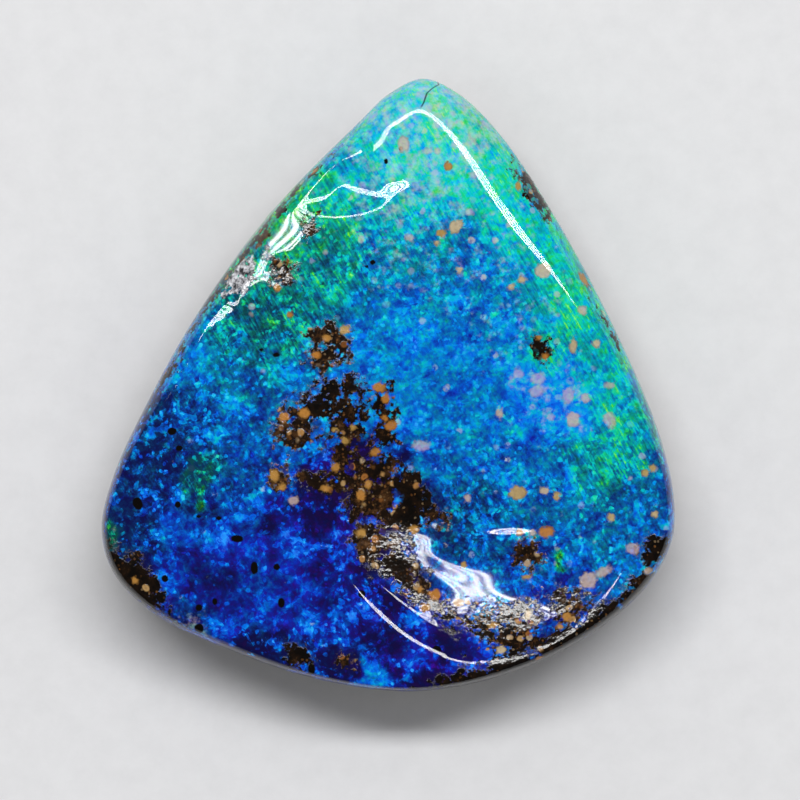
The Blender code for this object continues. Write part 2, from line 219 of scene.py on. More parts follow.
# The play of colour. Middle, reach, tint (0 violet, 0.5 blue, 1 lime), glow and
# milkiness of each zone. Zones blend into each other, and a small one wins.
FIRE_ZONES = (
    (1.31, 10.16, 1.61, 0.70, 1.02, 0.68), (-1.37, 8.73, 1.61, 0.65, 0.86, 0.46),
    (1.49, 7.84, 1.79, 0.73, 1.0, 0.58), (3.09, 9.38, 0.86, 0.76, 0.88, 0.75),
    (4.17, 6.95, 1.29, 0.73, 0.9, 0.32), (-2.98, 6.16, 1.36, 0.80, 0.69, 0.18),
    (-4.51, 3.02, 1.21, 0.70, 0.46, 0), (-5.83, 1.77, 1.21, 0.6, 0.48, 0),
    (-2.08, 3.66, 1.36, 0.68, 0.52, 0), (-7.0, 1.16, 0.86, 0.51, 0.77, 0),
    (0.06, 5.16, 1.43, 0.62, 0.68, 0.42), (1.84, 4.02, 1.61, 0.57, 0.64, 0.28),
    (1.49, 1.41, 1.96, 0.5, 0.85, 0.03), (-0.48, 2.13, 1.21, 0.52, 0.74, 0),
    (3.99, 2.84, 1.43, 0.52, 0.7, 0.28), (6.3, 1.4, 0.8, 0.70, 0.74, 0.1),
    (6.1, 3.3, 0.7, 0.76, 0.8, 0.2), (5.88, 5.16, 1.29, 0.72, 0.86, 0.2),
    (7.56, 2.13, 1.21, 0.71, 0.82, 0.04), (8.45, -0.91, 1.29, 0.67, 0.74, 0.03),
    (7.99, -3.05, 1.07, 0.73, 0.62, 0.05), (5.84, -0.48, 1.14, 0.5, 1, 0.45),
    (2.92, -1.62, 1.79, 0.5, 0.74, 0.03), (5.06, -3.05, 1.43, 0.5, 0.66, 0.1),
    (8.45, -5.19, 1.36, 0.49, 0.6, 0.12), (-6.0, -0.45, 1.64, 0.48, 0.62, 0),
    (-6.8, -1.1, 0.8, 0.44, 0.46, 0), (-8.51, -1.98, 1.14, 0.39, 0.26, 0),
    (-8.16, -4.12, 1.29, 0.38, 0.47, 0), (-5.1, -3.05, 1.29, 0.44, 0.58, 0),
    (-6.87, -3.98, 0.25, 0.95, 0.46, 0), (-6.51, -3.05, 0.32, 0.64, 0.36, 0),
    (-9.8, -5.37, 0.25, 0.76, 0.3, 0), (-8.9, -5.3, 0.7, 0.36, 0.28, 0),
    (-4.6, -9.5, 0.6, 0.27, 0.2, 0), (-4.0, -6.5, 1.0, 0.34, 0.8, 0),
    (-2.4, -9.5, 0.6, 0.28, 0.4, 0), (-0.3, -7.4, 0.7, 0.2, 0.4, 0),
    (-6.5, -6.62, 1.79, 0.31, 0.67, 0), (-2.98, -5.37, 1.21, 0.19, 0.42, 0),
    (-1.3, -3.77, 0.86, 0.12, 0.3, 0), (-3.51, -7.3, 1.7, 0.3, 0.72, 0),
    (-0.73, -9.48, 1.57, 0.27, 0.54, 0), (-0.66, -10.44, 0.25, 0.5, 0.75, 0),
    (-8.8, -5.52, 0.21, 0.44, 0.5, 0), (-7.55, -4.94, 0.36, 0.42, 0.8, 0),
    (1.84, -10.02, 1.14, 0.22, 0.58, 0), (3.45, -6.62, 1.29, 0.47, 0.58, 0.03),
    (2.7, -4.5, 1.1, 0.46, 0.42, 0.05), (5.59, -7.69, 1.14, 0.38, 0.58, 0.12),
    (6.13, -6.37, 0.16, 0.88, 0.5, 0), (-7.19, -8.44, 0.32, 0.4, 0.5, 0.4),
    (6.13, -4.84, 1.07, 0.51, 0.64, 0.05), (9.52, -4.12, 0.93, 0.46, 0.56, 0.02),
)

ROCK_BLEND = 8            # how sharply the tan changes from one patch to the next
ROCK_FADE = 0.02          # and how soon it fades outside them
BASE_ZONE = (0.3, 0.5, 0.03)      # tint, glow and milkiness far from every zone
BASE_WEIGHT = 1e-3
FIRE_DRIFT = 0.8          # how far the zones' borders wander
FIRE_DRIFT_SIZE = 0.7
FIRE_DRIFT_STARTS = (0, 50)       # for its two directions

# A hairline crack at the apex, from the rim inwards.
CRACK = ((1.13, 9.81), (1.27, 10.06), (1.38, 10.41), (1.59, 10.66), (1.84, 10.95))

OPAL_EDGE = 0.62          # how far below the girdle the opal ends
OPAL_EDGE_WANDER = 1.1

# Patterns and finishes. Counts are per millimetre, and relief is in millimetres.
FLAKE_COUNT = 4.8         # cells of light, and smaller chips between them
CHIP_COUNT = 6.5
FIBRE_TURN = -60          # fine fibres run down to the right
FIBRE_STRETCH = (1.6, 11.0, 5.0)
MILK_DOT_COUNT = 2.3
OOLITH_COUNT = 2.7        # round grains in the ironstone, and crumbs between them
CRUMB_COUNT = 7.5
ROCK_RELIEF = 0.027
BACK_RELIEF = 0.02
POLISH_ROUGHNESS = 0.05
WORN_ROUGHNESS = 0.05     # added where the ironstone shows or the polish is dull
BACK_ROUGHNESS = 0.45
OPAL_IOR = 1.45
VEIN_LOOK = dict(Tint=0.4, Glow=0.5, Milk=0.1)
BACK_TAN = 0.15

# Colours, in linear light.
PALETTE = (
    (0.00, (0.075, 0.004, 0.42)),
    (0.14, (0.022, 0.008, 0.36)),
    (0.28, (0.004, 0.030, 0.55)),
    (0.42, (0.001, 0.135, 0.78)),
    (0.54, (0.001, 0.290, 0.78)),
    (0.66, (0.001, 0.480, 0.62)),
    (0.77, (0.003, 0.600, 0.370)),
    (0.88, (0.015, 0.560, 0.085)),
    (1.00, (0.160, 0.720, 0.012)),
)
POTCH_DARK = (0.0035, 0.003, 0.012)
GLINT = (0.10, 0.62, 0.95)
MILK_TONES = (
    (0.34, (0.40, 0.40, 0.66)),
    (0.44, (0.66, 0.50, 0.52)),
    (0.52, (0.42, 0.72, 0.64)),
    (0.60, (0.30, 0.66, 0.66)),
    (0.70, (0.64, 0.54, 0.44)),
)
ROCK_TONES = (
    (0.34, (0.0035, 0.0025, 0.002)),
    (0.52, (0.012, 0.006, 0.003)),
    (0.66, (0.060, 0.026, 0.009)),
    (0.80, (0.16, 0.09, 0.045)),
    (0.95, (0.42, 0.39, 0.36)),
)
# The frosted chip: partly the dull broken stone's own grey, partly a painted sheen of the lamps on its
# rough face.
FROST_AND_SHEEN_TONES = (
    (0.40, (0.020, 0.020, 0.024)),
    (0.50, (0.30, 0.30, 0.32)),
    (0.62, (0.74, 0.75, 0.79)),
)
OOLITH_TONES = (
    (0.0, (0.13, 0.045, 0.012)),
    (0.4, (0.33, 0.13, 0.030)),
    (0.7, (0.40, 0.24, 0.09)),
    (1.0, (0.34, 0.26, 0.17)),
)
GRAIN_TONES = (
    (0.0, (0.44, 0.18, 0.032)),
    (0.35, (0.42, 0.28, 0.08)),
    (0.6, (0.52, 0.42, 0.27)),
    (1.0, (0.66, 0.44, 0.50)),
)
BACK_TONES = (
    (0.25, (0.020, 0.010, 0.006)),
    (0.5, (0.070, 0.032, 0.014)),
    (0.75, (0.22, 0.105, 0.040)),
)
FLOOR_COLOUR = (0.72, 0.72, 0.73)
ROOM_COLOUR = (0.95, 0.97, 1.0, 1.0)

# Light and camera, in millimetres.
LAMP_HEIGHT = 600.0
LAMP_SLOPES = (0.385, 0.43, 0.475, 0.52)    # how far each strip stands off towards +Y
LAMP_LEFT, LAMP_RIGHT = -0.60, 0.66         # its ends
LAMP_WIDTH = 0.022                          # all three as shares of the height
LAMP_RADIANCE = 38.0
ROOM_LIGHT = 0.04
BOX_AZIMUTHS = tuple(math.radians(value) for value in (15, 105, 195, 285))
BOX_ELEVATION = math.radians(38)
BOX_DISTANCE = 700.0
BOX_SIZE = 500.0
BOX_RADIANCE = 0.82
PHOTO_WIDTH = 28.57       # what the picture's width covers at the level of the face
PHOTO_MIDDLE = (0.42, -0.55)
CAMERA_HEIGHT = 260.0
SENSOR_WIDTH = 36.0
FACE_LEVEL = 3.4
FLOOR_SIZE = 900.0


def girdle_curve():
    """Closed centripetal curve through the girdle's points."""
    points = np.array(GIRDLE_POINTS)
    before, after, beyond = (np.roll(points, -k, axis=0) for k in (-1, 1, 2))

    def gap(a, b):
        return np.linalg.norm(b - a, axis=1)[:, None] ** 0.5

    d1, d2, d3 = gap(before, points), gap(points, after), gap(after, beyond)
    out = d2 * ((points - before) / d1 - (after - before) / (d1 + d2) + (after - points) / d2)
    back = d2 * ((after - points) / d2 - (beyond - points) / (d2 + d3) + (beyond - after) / d3)
    rows = []
    for t in np.arange(CURVE_STEPS) / CURVE_STEPS:
        rows.append((2 * t**3 - 3 * t**2 + 1) * points + (t**3 - 2 * t**2 + t) * out
                    + (3 * t**2 - 2 * t**3) * after + (t**3 - t**2) * back)
    curve = np.stack(rows, axis=1).reshape(-1, 2)
    return curve - (curve.min(axis=0) + curve.max(axis=0)) / 2


class Girdle:
    """Radius of the girdle, and reach of its tangent, by direction from the middle."""

    def __init__(self):
        curve = girdle_curve()
        tangent = np.roll(curve, -1, axis=0) - np.roll(curve, 1, axis=0)
        tangent /= np.linalg.norm(tangent, axis=1)[:, None]
        reach = curve[:, 0] * tangent[:, 1] - curve[:, 1] * tangent[:, 0]
        window = np.hanning(2 * SUPPORT_BLUR + 1)
        padded = np.concatenate((reach[-SUPPORT_BLUR:], reach, reach[:SUPPORT_BLUR]))
        self.reach_values = np.convolve(padded, window / window.sum(), mode="valid")
        self.radius_values = np.linalg.norm(curve, axis=1)
        self.angles = np.unwrap(np.arctan2(curve[:, 1], curve[:, 0]))

    def read(self, values, angle):
        turn = (angle - self.angles[0]) % (2 * math.pi)
        known = np.append(self.angles - self.angles[0], 2 * math.pi)
        return np.interp(turn, known, np.append(values, values[0]))

    def radius(self, angle):
        return self.read(self.radius_values, angle)

    def reach(self, angle):
        return self.read(self.reach_values, angle)


def turned(x, y, middle, turn):
    """Places seen from a middle, along and across a direction given in degrees."""
    c, s = math.cos(math.radians(turn)), math.sin(math.radians(turn))
    dx, dy = x - middle[0], y - middle[1]
    return dx * c + dy * s, dy * c - dx * s


def hollow(x, y, middle, half, turn, depth, steep):
    """Depth of one soft hollow at each place on the face."""
    along, across = turned(x, y, middle, turn)
    return depth * np.exp(-np.hypot(along / half[0], across / half[1]) ** steep)


def basin(x, y, middle, half, turn, depth, edge, far=None):
    """Depth of one basin with a crisp edge. It may reach further on its far side."""
    along, across = turned(x, y, middle, turn)
    across = across / np.where(across > 0, far or half[1], half[1])
    inside = 1 - (along / half[0]) ** 2 - across ** 2
    return depth * np.logaddexp(0, inside / edge) / np.logaddexp(0, 1 / edge)


def girdle_level(y):
    return GIRDLE_HEIGHT - GIRDLE_FALL * y


def noise_at(places, size):
    """Smooth noise, about -0.5 to 0.5, at rows of x, y and z."""
    return np.array([noise.noise(Vector(place) / size) for place in places])


def shoulder_width(angle):
    """Width of the rounded rim, by direction from the middle."""
    return SHOULDER_WIDTH * (1 + sum(
        change * np.exp(-((angle - math.radians(side)) / spread) ** 2)
        for side, spread, change in SHOULDER_CHANGES))


def plain_height(girdle, x, y):
    """Height of the face above the flat back, without facets and small unevenness."""
    angle = np.arctan2(y, x)
    share = np.minimum(np.hypot(x, y) / girdle.radius(angle), 1.0)
    to_rim = (1 - share) * girdle.reach(angle)
    left = 1 - np.minimum(to_rim / shoulder_width(angle), 1.0)
    height = girdle_level(y)
    height = height + SHOULDER_RISE * np.sqrt(1 - left ** SHOULDER_CURVE)
    height = height + DOME_RISE * (1 - share ** DOME_CURVE)
    forms = basin(x, y, **BOWL) + basin(x, y, **LEDGE)
    forms = forms + sum(hollow(x, y, **form) for form in (CHIP, PIT, *FINE_FORMS))
    return height - np.minimum(to_rim / SHOULDER_WIDTH, 1.0) * forms


def face_height(girdle, x, y):
    """Height of the polished face above the flat back."""
    height = plain_height(girdle, x, y)
    for mid_x, mid_y, turn, slope, depth, bend, reach in FACETS:
        out, along = turned(x, y, (mid_x, mid_y), turn)
        level = plain_height(girdle, np.array([mid_x]), np.array([mid_y])) - depth
        over = height - level + slope * out + bend * out ** 2 / 2
        near = np.exp(-(along / reach) ** 4 - (out / FACET_WIDTH) ** 4)
        height = height - near * FACET_EDGE * np.logaddexp(0, over / FACET_EDGE)
    share = np.minimum(np.hypot(x, y) / girdle.radius(np.arctan2(y, x)), 1.0)
    flat = np.stack((x, y, np.zeros_like(x)), axis=1)
    ripple = RIPPLE_HEIGHT * noise_at(flat, RIPPLE_SIZE)
    broken = hollow(x, y, **CHIP) / CHIP["depth"] * BREAK_HEIGHT * noise_at(flat, BREAK_SIZE)
    return height - np.minimum((1 - share) * RIPPLE_FADE, 1.0) * (ripple + broken)


def waves(table, angle):
    return sum(size * np.sin(count * angle + phase) for count, phase, size in table)


def side_points(girdle, angle, down):
    """A ring of the side: down is 0 at the girdle and 1 at the back."""
    inset = BACK_INSET * (1 + waves(BACK_INSET_WAVES, angle)) * down ** BELLY_CURVE
    inset = inset - waves(SIDE_LUMPS, angle) * math.sin(math.pi * down)
    rim_y = girdle.radius(angle) * np.sin(angle)
    level = girdle_level(rim_y) * (1 - down)
    path_x, path_y = SIDE_GRAIN_RADIUS * np.cos(angle), SIDE_GRAIN_RADIUS * np.sin(angle)
    rough = noise_at(np.stack((path_x, path_y, level), axis=1), SIDE_GRAIN_SIZE)
    inset = inset + SIDE_GRAIN_HEIGHT * rough * math.sin(math.pi * down)
    radius = girdle.radius(angle) * (1 - inset / girdle.reach(angle))
    return np.stack((radius * np.cos(angle), radius * np.sin(angle), level), axis=1)


def shape_face(bm, girdle):
    """The square net becomes the face, and its edge lies on the girdle."""
    net = np.array([vert.co[:2] for vert in bm.verts])
    x = net[:, 0] * np.sqrt(1 - net[:, 1] ** 2 / 2)
    y = net[:, 1] * np.sqrt(1 - net[:, 0] ** 2 / 2)
    share = 1 - (1 - np.minimum(np.hypot(x, y), 1.0)) ** GRID_CROWD
    angle = np.arctan2(y, x) + GRID_TURN
    radius = girdle.radius(angle) * share
    x, y = radius * np.cos(angle), radius * np.sin(angle)
    for vert, place in zip(bm.verts, np.stack((x, y, face_height(girdle, x, y)), axis=1)):
        vert.co = place


def add_side(bm, girdle):
    """Rings are drawn down from the girdle. Returns the edges of the last one."""
    rim = [edge for edge in bm.edges if edge.is_boundary]
    for ring in range(1, SIDE_RINGS + 1):
        drawn = bmesh.ops.extrude_edge_only(bm, edges=rim)["geom"]
        rim = [item for item in drawn if isinstance(item, bmesh.types.BMEdge)]
        ends = [item for item in drawn if isinstance(item, bmesh.types.BMVert)]
        angle = np.array([math.atan2(vert.co.y, vert.co.x) for vert in ends])
        for vert, place in zip(ends, side_points(girdle, angle, ring / SIDE_RINGS)):
            vert.co = place
    return rim


def close_back(bm, rim):
    """The flat back, with a slightly worn edge."""
    bmesh.ops.contextual_create(bm, geom=rim)
    bmesh.ops.bevel(bm, geom=rim, offset=BACK_EDGE_ROUNDING, segments=BACK_EDGE_STEPS,
                    profile=0.5, affect="EDGES", material=-1)
    back = [face for face in bm.faces if len(face.verts) > 4]
    bmesh.ops.inset_individual(bm, faces=back, thickness=BACK_MARGIN)


def spot_field(x, y, rows):
    """How deep each place lies inside each oval of a table, in millimetres."""
    depths = []
    for row in rows:
        along, across = turned(x, y, row[:2], row[4])
        short = min(row[2], row[3])
        depths.append((1 - np.hypot(along / row[2], across / row[3])) * short)
    return np.clip(np.array(depths), -1, None)


def laid_flat(girdle, x, y, z):
    """Places on the rim and side, moved outwards as if the skin were rolled out flat."""
    angle = np.arctan2(y, x)
    radius = girdle.radius(angle)
    width = shoulder_width(angle)
    share = np.minimum(np.hypot(x, y) / radius, 1.0)
    run = np.maximum(width - (1 - share) * girdle.reach(angle), 0)
    drop = np.maximum(girdle_level(y) + SHOULDER_RISE - z, 0) * (run > 0)
    further = 1 + (np.hypot(run, drop) - run) / np.maximum(np.hypot(x, y), 1.0)
    return x * further, y * further


def fire_fields(x, y):
    """Tint, glow and milkiness at each place, blended from the zones."""
    total = np.full_like(x, BASE_WEIGHT)
    sums = [value * total for value in BASE_ZONE]
    for zone_x, zone_y, reach, *values in FIRE_ZONES:
        weight = np.exp(-((x - zone_x) ** 2 + (y - zone_y) ** 2) / reach ** 2) / reach ** 2
        total = total + weight
        sums = [old + weight * value for old, value in zip(sums, values)]
    return [value / total for value in sums]


def crack_field(x, y):
    """Signed distance across the crack, and how far past its inner end."""
    path = np.array(CRACK)
    return x - np.interp(y, path[:, 1], path[:, 0]), y - path[0, 1]


def add_fields(mesh, girdle):
    """Writes what the materials read at each point of the stone."""
    places = np.empty(len(mesh.vertices) * 3)
    mesh.vertices.foreach_get("co", places)
    x, y, z = places.reshape(-1, 3).T / MM
    angle = np.arctan2(y, x)
    flat = np.stack((x, y, z), axis=1)
    below = girdle_level(girdle.radius(angle) * np.sin(angle)) - z
    x, y = laid_flat(girdle, x, y, z)
    drift_x, drift_y = (FIRE_DRIFT * noise_at(flat + start, FIRE_DRIFT_SIZE)
                        for start in FIRE_DRIFT_STARTS)
    tint, glow, milk = fire_fields(x + drift_x, y + drift_y)
    rock = spot_field(x, y, ROCK_PATCHES)
    pull = np.exp(rock * ROCK_BLEND)
    tan = np.array([row[5] for row in ROCK_PATCHES])[:, None]
    grains = spot_field(x, y, GRAINS)
    grain_tone = np.array([row[5] for row in GRAINS])[grains.argmax(axis=0)]
    crack, crack_end = crack_field(x, y)
    fields = {
        "tint": tint, "glow": glow, "milk": milk,
        "rock": rock.max(axis=0),
        "rock_tan": (pull * tan).sum(axis=0) / (pull.sum(axis=0) + ROCK_FADE),
        "speck": spot_field(x, y, SPECKS).max(axis=0),
        "grain": grains.max(axis=0), "grain_tone": grain_tone,
        "crack": crack, "crack_end": crack_end,
        "worn": hollow(x, y, **WORN),
        "below": below,
    }
    for name, values in fields.items():
        layer = mesh.attributes.new(name, "FLOAT", "POINT")
        layer.data.foreach_set("value", values.astype(np.float32))


def make_stone():
    girdle = Girdle()
    bm = bmesh.new()
    bmesh.ops.create_grid(bm, x_segments=GRID, y_segments=GRID, size=1.0)
    shape_face(bm, girdle)
    close_back(bm, add_side(bm, girdle))
    bmesh.ops.scale(bm, vec=(MM * FIT,) * 3, verts=bm.verts)
    bmesh.ops.triangulate(bm, faces=bm.faces)
    bmesh.ops.recalc_face_normals(bm, faces=bm.faces)
    for face in bm.faces:
        flat_back = all(vert.co.z < LEVEL_TOLERANCE * MM for vert in face.verts)
        face.material_index = 1 if flat_back else 0
        face.smooth = True
    mesh = bpy.data.meshes.new("polished_stone")
    bm.to_mesh(mesh)
    bm.free()
    mesh.set_sharp_from_angle(angle=SHARP_ANGLE)
    add_fields(mesh, girdle)
    stone = bpy.data.objects.new("polished_stone", mesh)
    bpy.context.scene.collection.objects.link(stone)
    return stone


class Net:
    """Short calls that add nodes to one tree and link them."""

    def __init__(self, tree):
        self.tree = tree

    def add(self, kind, **settings):
        node = self.tree.nodes.new(kind)
        for name, value in settings.items():
            setattr(node, name, value)
        return node

    def feed(self, socket, value):
        if isinstance(value, bpy.types.NodeSocket):
            self.tree.links.new(value, socket)
        elif isinstance(value, (int, float)):
            socket.default_value = value
        else:
            full = len(socket.default_value)
            socket.default_value = (*value, 1.0)[:full]

    def math(self, operation, *values, clamp=False):
        node = self.add("ShaderNodeMath", operation=operation, use_clamp=clamp)
        for socket, value in zip(node.inputs, values):
            self.feed(socket, value)
        return node.outputs[0]

    def shift(self, first, *terms):
        """first plus each (value, factor), with the value's middle at 0.5."""
        for value, factor in terms:
            step = self.math("MULTIPLY", self.math("SUBTRACT", value, 0.5), factor)
            first = self.math("ADD", first, step)
        return first

    def between(self, value, low, high):
        """0 below low, 1 above high and smooth in between. Turned round if low is larger."""
        node = self.add("ShaderNodeMapRange", interpolation_type="SMOOTHSTEP")
        for name, number in zip(("Value", "From Min", "From Max"), (value, low, high)):
            self.feed(node.inputs[name], number)
        return node.outputs["Result"]

    def mix(self, share, a, b, blend="MIX"):
        node = self.add("ShaderNodeMix", data_type="RGBA", blend_type=blend)
        for index, value in zip((0, 6, 7), (share, a, b)):
            self.feed(node.inputs[index], value)
        return node.outputs[2]

    def shaded(self, colour, shade):
        """A colour darkened to a share of its brightness."""
        return self.mix(1.0, colour, self.mix(shade, (0, 0, 0), (1, 1, 1)), "MULTIPLY")

    def ramp(self, value, stops):
        node = self.add("ShaderNodeValToRGB")
        ramp = node.color_ramp
        while len(ramp.elements) < len(stops):
            ramp.elements.new(0.5)
        for element, (place, colour) in zip(ramp.elements, stops):
            element.position = place
            element.color = (*colour, 1.0)
        self.feed(node.inputs[0], value)
        return node.outputs[0]

    def places(self, turn=0.0, stretch=(1, 1, 1), start=(0, 0, 0)):
        """Object coordinates in millimetres, turned in the face's plane and stretched."""
        node = self.add("ShaderNodeMapping", vector_type="TEXTURE")
        self.feed(node.inputs["Vector"], self.add("ShaderNodeTexCoord").outputs["Object"])
        self.feed(node.inputs["Scale"], tuple(MM / factor for factor in stretch))
        self.feed(node.inputs["Rotation"], (0, 0, math.radians(turn)))
        self.feed(node.inputs["Location"], tuple(-place * MM for place in start))
        return node.outputs[0]

    def warp(self, vector, scale, amount):
        swirl = self.noise(vector, scale, 1.0, colour=True)
        node = self.add("ShaderNodeVectorMath", operation="MULTIPLY_ADD")
        for socket, value in zip(node.inputs, (swirl, (amount,) * 3, vector)):
            self.feed(socket, value)
        return node.outputs[0]

    def noise(self, vector, scale, detail=2.0, roughness=0.5, colour=False):
        node = self.add("ShaderNodeTexNoise")
        settings = {"Vector": vector, "Scale": scale, "Detail": detail, "Roughness": roughness}
        for name, value in settings.items():
            self.feed(node.inputs[name], value)
        return node.outputs["Color" if colour else "Fac"]

    def cells(self, vector, scale):
        """Distance to the nearest cell's middle, and three random numbers of that cell."""
        node = self.add("ShaderNodeTexVoronoi")
        self.feed(node.inputs["Vector"], vector)
        self.feed(node.inputs["Scale"], scale)
        split = self.add("ShaderNodeSeparateColor")
        self.feed(split.inputs[0], node.outputs["Color"])
        return (node.outputs["Distance"], *split.outputs[:3])

    def field(self, name):
        return self.add("ShaderNodeAttribute", attribute_name=name).outputs["Fac"]

    def group(self, tree, **values):
        node = self.add("ShaderNodeGroup", node_tree=tree)
        for name, value in values.items():
            self.feed(node.inputs[name], value)
        return node.outputs


def new_group(name, inputs, outputs):
    tree = bpy.data.node_groups.new(name, "ShaderNodeTree")
    for title, start in inputs:
        socket = tree.interface.new_socket(title, in_out="INPUT", socket_type="NodeSocketFloat")
        socket.default_value = start
    for title, kind in outputs:
        tree.interface.new_socket(title, in_out="OUTPUT", socket_type=kind)
    net = Net(tree)
    return net, net.add("NodeGroupInput").outputs, net.add("NodeGroupOutput").inputs


def fire_group():
    """Play of colour: patches, cells and fine fibres of light in dark potch, with milky veils."""
    net, given, result = new_group(
        "play_of_colour", (("Tint", 0.4), ("Glow", 0.6), ("Milk", 0.0)), (("Color", "NodeSocketColor"),))
    tint, glow, milk = given["Tint"], given["Glow"], given["Milk"]
    place = net.warp(net.places(), 1.3, 0.3)
    patches = net.noise(place, 0.8, 2.0)
    mottle = net.noise(place, 2.6, 3.0, 0.6)
    fine = net.noise(place, 10.0, 2.0, 0.6)
    along_fibres = net.places(turn=FIBRE_TURN, stretch=FIBRE_STRETCH)
    fibres = net.noise(net.warp(along_fibres, 0.7, 0.6), 1.0, 2.0, 0.6)
    crooked = net.warp(place, 5.0, 0.10)
    _, flake, flake_tint, _ = net.cells(crooked, FLAKE_COUNT)
    chip_place, chip, chip_tint, _ = net.cells(crooked, CHIP_COUNT)
    lit = net.shift(net.math("MULTIPLY", flake, 0.75), (mottle, 1.2), (patches, 1.3), (fine, 0.3))
    flash = net.between(lit, 0.48, 0.70)
    spark = net.math("MULTIPLY", net.between(chip, 0.84, 0.90), net.between(chip_place, 0.60, 0.38))
    deep = net.between(tint, 0.42, 0.26)
    green = net.between(tint, 0.54, 0.66)
    texture = net.shift(0.0, (patches, 0.7), (mottle, 1.1), (fine, 0.6), (fibres, 0.5), (chip, 0.15))
    rough = net.math("SUBTRACT", net.math("MULTIPLY_ADD", deep, -0.35, 1.28), glow)
    change = net.math("MULTIPLY", texture, rough)
    streaks = net.math("MULTIPLY", net.math("SUBTRACT", fibres, 0.5), net.math("MULTIPLY", green, 0.45))
    blotches = net.math("MULTIPLY", net.shift(0.0, (patches, 1.6), (mottle, 0.3)), deep)
    gleam = net.math("MULTIPLY_ADD", glow, -0.45, net.math("MULTIPLY_ADD", deep, 0.04, 0.46))
    gleam = net.math("MULTIPLY", flash, gleam)
    change = net.math("ADD", net.math("ADD", change, streaks), net.math("ADD", blotches, gleam))
    spark = net.math("MULTIPLY", spark, net.math("MULTIPLY_ADD", glow, -0.45, 0.56))
    change = net.math("ADD", change, net.math("SUBTRACT", spark, 0.05))
    bright = net.math("ADD", glow, change)
    drift = net.noise(net.places(start=(31, 7, 3)), 1.4, 3.0, 0.6)
    specks = net.noise(net.places(start=(7, 3, 5)), 5.0, 3.0, 0.6)
    hue = net.shift(tint, (drift, 0.45), (specks, 0.4), (flake_tint, 0.10), (chip_tint, 0.13))
    hue = net.math("MULTIPLY_ADD", change, net.math("MULTIPLY_ADD", deep, 0.10, 0.20), hue)
    lime = net.math("MULTIPLY", net.between(fibres, 0.56, 0.66), net.between(patches, 0.42, 0.60))
    lime = net.math("MULTIPLY", lime, green)
    hue = net.math("MULTIPLY_ADD", lime, 0.17, hue)
    bright = net.math("MULTIPLY_ADD", lime, 0.10, bright)
    colour = net.ramp(hue, PALETTE)
    strength = net.math("MULTIPLY_ADD", bright, 1.1, 0.045, clamp=True)
    strength = net.math("MAXIMUM", net.math("POWER", strength, 2.0), 0.10)
    colour = net.mix(strength, POTCH_DARK, colour)
    glints = net.math("MULTIPLY", net.between(bright, 0.88, 1.2), 0.5)
    colour = net.mix(glints, colour, net.mix(0.4, colour, GLINT, "ADD"))
    veil_noise = net.noise(net.places(start=(5, 11, 2)), 2.6, 4.0, 0.62)
    veil = net.between(net.shift(milk, (veil_noise, 2.2)), 0.36, 1.0)
    tones = net.ramp(net.noise(net.places(start=(3, 1, 9)), 1.8, 3.0), MILK_TONES)
    tones = net.mix(0.35, tones, colour)
    colour = net.mix(net.math("MULTIPLY", veil, 0.8), colour, tones)
    dot_place = net.warp(net.places(start=(17, 3, 0)), 4.0, 0.12)
    dot, dot_pick, dot_tone, _ = net.cells(dot_place, MILK_DOT_COUNT)
    few = net.between(dot_pick, net.shift(0.14, (net.math("ADD", milk, 0.5), 0.45)), 0.0)
    dots = net.math("MULTIPLY", net.between(dot, 0.36, 0.20), few)
    dots = net.math("MULTIPLY", dots, net.between(hue, 0.38, 0.55))
    colour = net.mix(net.math("MULTIPLY", dots, 0.55), colour, net.ramp(dot_tone, MILK_TONES))
    net.feed(result["Color"], colour)
    return net.tree


